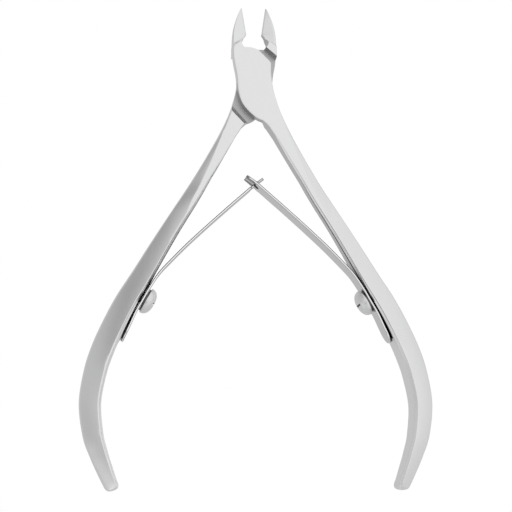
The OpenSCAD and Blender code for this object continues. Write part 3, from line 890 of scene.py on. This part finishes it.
def build_rivet():
    profile = [(0, -1.5), (1.42, -1.5), (RIVET_R, -1.42), (RIVET_R, HALF - RIVET_SINK),
               (2.17, HALF - 0.03), (2.185, HALF - 0.008), (2.15, HALF), (1.2, HALF), (0, HALF)]
    return add("rivet", lathe("rivet", profile), Z_TO_Y)


def set_materials(o, *materials):
    o.data.materials.clear()
    for material in materials:
        o.data.materials.append(material)


def paint_screw(o, side):
    """Painted shade: a dark collar under the head, and dark walls and floor in the slot."""
    set_materials(o, screw_steel, collar, black_shade)
    at = Vector((side * SCREW_AT.x, HALF * MM, SCREW_AT.z))
    out = Vector((side * SCREW_OUT.x, 0, SCREW_OUT.z))
    across = Matrix.Rotation(math.radians(SLOT_TURN), 3, out) @ Vector((0, 1, 0)).cross(out)
    for f in o.data.polygons:
        height = (f.center - at).dot(out)
        # the collar gets painted shade
        if HEAD_BASE * MM - 1e-6 < height < (HEAD_BASE + 0.345) * MM:
            f.material_index = 1
        # the slot's walls and floor get painted black shade
        near_slot = (abs((f.center - at).dot(across)) < (SLOT_HALF + 0.01) * MM
                     and height > (HEAD_TOP - 0.40) * MM)
        is_wall = abs(f.normal.dot(across)) > 0.9
        is_floor = f.normal.dot(out) > 0.999 and height < (HEAD_TOP - 0.27) * MM
        if near_slot and (is_wall or is_floor):
            f.material_index = 2


# ------------------------------------------------------------------ assembly
front_lever = build_lever("lever_front", rear=False)
rear_lever = build_lever("lever_rear", rear=True)
front_spring = build_spring("leaf_spring_front", fork=True)
rear_spring = build_spring("leaf_spring_rear", fork=False)
rear_spring.data.transform(TURN)
front_screw = build_screw("spring_screw_front")
rear_screw = build_screw("spring_screw_rear")
rear_screw.data.transform(TURN)
rivet = build_rivet()

# the pieces are built about the lap plane; the frame's origin is on the joint's front face
for o in (front_lever, rear_lever, front_spring, rear_spring, front_screw, rear_screw, rivet):
    o.data.transform(SET_BACK)

paint_screw(front_screw, 1)
paint_screw(rear_screw, -1)
set_materials(rivet, rivet_steel)

for o, body, replaced, slot in [
    (front_lever, "front_lever", "front_lever", "forged_steel"),
    (rear_lever, "rear_lever", "rear_lever", "forged_steel"),
    (front_screw, "front_lever", "front_spring_screw", "screw_steel"),
    (rear_screw, "rear_lever", "rear_spring_screw", "screw_steel"),
    (rivet, "front_lever", "pivot_rivet", "rivet_steel"),
]:
    shade(o)
    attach(o, body)
    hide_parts(replaced)

for o, body, arm, replaced, side in [
    (front_spring, "front_lever", "front_spring", "front_leaf_spring", 1),
    (rear_spring, "rear_lever", "rear_spring", "rear_leaf_spring", -1),
]:
    shade(o)
    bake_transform(o)
    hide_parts(replaced)


# ------------------------------------------------------------------ floor, in metres
def floor_material():
    """Pale from above and clear from below."""
    material = bpy.data.materials.new("pale_floor")
    material.use_nodes = True
    tree = material.node_tree
    shader = tree.nodes["Principled BSDF"]
    shader.inputs["Base Color"].default_value = (0.93, 0.93, 0.93, 1)
    shader.inputs["Roughness"].default_value = 0.9
    below = node(tree, "NewGeometry", {}).outputs["Backfacing"]
    clear = node(tree, "BsdfTransparent", {})
    mix = node(tree, "MixShader", {0: below, 1: shader.outputs[0], 2: clear.outputs[0]})
    tree.links.new(mix.outputs[0], tree.nodes["Material Output"].inputs["Surface"])
    return material


def build_floor(radius=1.6, drop=0.0004):
    me = bpy.data.meshes.new("floor")
    bm = bmesh.new()
    bm.faces.new([bm.verts.new((radius * math.cos(a), radius * math.sin(a), cad_low[2] - drop))
                  for a in np.linspace(0, 2 * math.pi, 96, endpoint=False)])
    bm.to_mesh(me)
    bm.free()
    o = add("floor", me)
    me.materials.append(floor_material())
    o.visible_glossy = False
    o.visible_diffuse = False
    o.visible_shadow = False
    return o


build_floor()

# ------------------------------------------------------------------ world
AMBIENT = 0.62
# soft lights and, where the strength is negative, shades: direction, sharpness, strength
LOBES = [
    ((0.14, -0.96, 0.24), 1.3, 0.33),
    ((-0.50, -0.60, 0.65), 12.0, -0.45),
    ((-0.85, -0.35, -0.20), 6.0, -0.12),
    ((-0.16, -0.94, -0.28), 30.0, -0.65),
    ((1.00, -0.10, 0.15), 3.0, 0.16),
    ((0.65, -0.70, 0.25), 8.0, -0.08),
    ((0.14, 0.20, 0.95), 14.0, 0.75),
    ((-0.80, -0.10, -0.60), 30.0, 0.45),
]


def lobe(tree, view, direction, sharpness, strength):
    """strength * max(0, dot) ** sharpness about a direction."""
    value = node(tree, "VectorMath", {0: view, 1: Vector(direction).normalized()},
                 operation="DOT_PRODUCT").outputs["Value"]
    for operation, number in [("MAXIMUM", 0.0), ("POWER", sharpness), ("MULTIPLY", strength)]:
        value = node(tree, "Math", {0: value, 1: number}, operation=operation).outputs[0]
    return value


def build_world():
    """White to the camera, a soft studio to the steel."""
    world = bpy.data.worlds.new("studio")
    bpy.context.scene.world = world
    world.use_nodes = True
    tree = world.node_tree
    tree.nodes.clear()
    out = node(tree, "OutputWorld", {})
    view = node(tree, "TexCoord", {}).outputs["Generated"]
    level = AMBIENT
    for value in [lobe(tree, view, *numbers) for numbers in LOBES]:
        level = node(tree, "Math", {0: value, 1: level}, operation="ADD").outputs[0]
    studio = node(tree, "Background", {"Strength": level, "Color": (1, 1, 1, 1)})
    white = node(tree, "Background", {"Strength": 1.0, "Color": (1, 1, 1, 1)})
    is_camera = node(tree, "LightPath", {}).outputs["Is Camera Ray"]
    mix = node(tree, "MixShader", {0: is_camera, 1: studio.outputs[0], 2: white.outputs[0]})
    tree.links.new(mix.outputs[0], out.inputs["Surface"])


build_world()

view_settings = bpy.context.scene.view_settings
view_settings.view_transform = "Standard"
view_settings.look = "None"
view_settings.exposure = 0.0
view_settings.gamma = 1.0


# ------------------------------------------------------------------ camera
def build_camera(azimuth, elevation, roll, distance, lens, target):
    """Looks at target (in metres) from the front; angles in degrees."""
    a, e, r = (math.radians(angle) for angle in (azimuth, elevation, roll))
    back = Vector((math.sin(a) * math.cos(e), -math.cos(a) * math.cos(e), math.sin(e)))
    right = Vector((math.cos(a), math.sin(a), 0))
    up = back.cross(right)
    right, up = right * math.cos(r) + up * math.sin(r), up * math.cos(r) - right * math.sin(r)
    data = bpy.data.cameras.new("camera")
    data.lens = lens
    data.sensor_width = 36
    data.clip_start = 0.01
    camera = add("camera", data)
    axes = Matrix((right, up, back)).transposed().to_4x4()
    camera.matrix_world = Matrix.Translation(target + back * distance) @ axes
    bpy.context.scene.camera = camera


build_camera(azimuth=-8.0, elevation=-9.0, roll=-0.589, distance=0.420, lens=139.17,
             target=Vector((0.000011, HALF * MM, -0.038068)))
